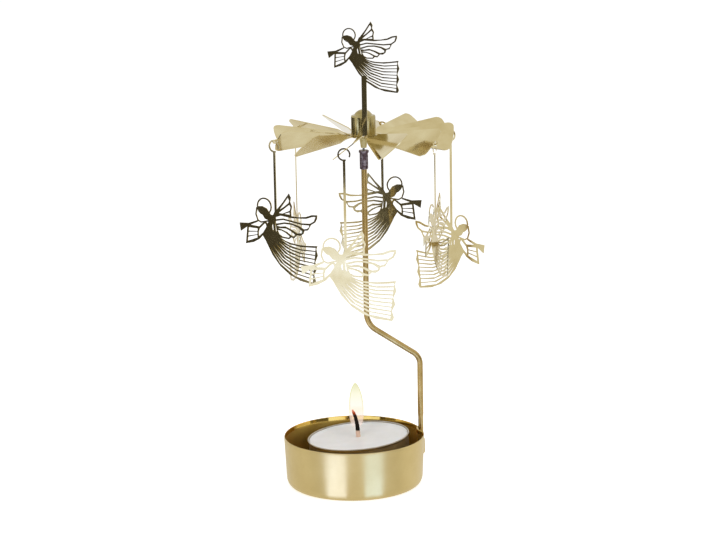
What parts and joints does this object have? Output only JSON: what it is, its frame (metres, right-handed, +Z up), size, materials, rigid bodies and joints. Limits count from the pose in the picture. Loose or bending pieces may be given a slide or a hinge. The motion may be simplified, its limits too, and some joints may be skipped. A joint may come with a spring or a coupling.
{
  "type": "candle carousel",
  "caption": "Brass candle carousel: a tealight cup with a bent wire pole and needle pivot carries a bladed fan with hanging pierced trumpet angels and an angel on top.",
  "frame": {"origin": "centre of the candle cup's flat underside, on the surface it stands on", "axes": "+Z up along the cup's axis, +X towards the pole's foot in the cup's wall"},
  "size_m": [0.087, 0.0864, 0.1714],
  "materials": {
    "gold_satin": "satin light gold sheet",
    "gold_wire": "drawn light gold wire",
    "aged_ferrule": "dark tarnished metal",
    "needle_steel": "bright steel",
    "polished_brass": "polished brass",
    "bearing_plug": "plain moulded plug",
    "brass_sheet": "mirror polished brass sheet",
    "tealight_tin": "bare thin aluminium",
    "candle_wax": "smooth white wax",
    "wick_black": "burnt cotton"
  },
  "bodies": {
    "base": {"candle_cup": "gold_satin", "stem_wire": "gold_wire", "ferrule": "aged_ferrule", "pivot_needle": "needle_steel"},
    "carousel": {"hub_cap": "polished_brass", "pivot_bearing": "bearing_plug", "hub_bush": "polished_brass", "fan": "brass_sheet", "finial_angel": "brass_sheet"},
    "pendant_angel_1": {"pendant_angel_1": "brass_sheet"},
    "pendant_angel_2": {"pendant_angel_2": "brass_sheet"},
    "pendant_angel_3": {"pendant_angel_3": "brass_sheet"},
    "pendant_angel_4": {"pendant_angel_4": "brass_sheet"},
    "pendant_angel_5": {"pendant_angel_5": "brass_sheet"},
    "pendant_angel_6": {"pendant_angel_6": "brass_sheet"},
    "tealight": {"tealight_cup": "tealight_tin", "wax": "candle_wax", "wick": "wick_black", "wick_sustainer": "needle_steel"}
  },
  "joints": [
    {"name": "carousel_spin", "type": "hinge", "parent": "base", "child": "carousel", "pos_m": [0.0055, 0, 0.1354], "axis": [0, 0, 1], "continuous": true},
    {"name": "swing_1", "type": "hinge", "parent": "carousel", "child": "pendant_angel_1", "pos_m": [-0.02798, -0.00283, 0.12809], "axis": [-0.682, -0.7314, 0], "range_deg": [-5, 5]},
    {"name": "swing_2", "type": "hinge", "parent": "carousel", "child": "pendant_angel_2", "pos_m": [-0.01398, 0.02767, 0.12823], "axis": [0.9962, 0.0872, 0], "range_deg": [-5, 5]},
    {"name": "swing_3", "type": "hinge", "parent": "carousel", "child": "pendant_angel_3", "pos_m": [-0.00873, -0.02996, 0.12798], "axis": [-0.225, -0.9744, 0], "range_deg": [-5, 5]},
    {"name": "swing_4", "type": "hinge", "parent": "carousel", "child": "pendant_angel_4", "pos_m": [0.01979, 0.03036, 0.12807], "axis": [-0.2419, 0.9703, 0], "range_deg": [-5, 5]},
    {"name": "swing_5", "type": "hinge", "parent": "carousel", "child": "pendant_angel_5", "pos_m": [0.02454, -0.02749, 0.12803], "axis": [0.9135, -0.4067, 0], "range_deg": [-5, 5]},
    {"name": "swing_6", "type": "hinge", "parent": "carousel", "child": "pendant_angel_6", "pos_m": [0.03887, 0.00277, 0.12805], "axis": [0.7771, 0.6293, 0], "range_deg": [-5, 5]},
    {"name": "tealight_lift", "type": "slide", "parent": "base", "child": "tealight", "axis": [0, 0, 1], "range_m": [0, 0.02]}
  ]
}
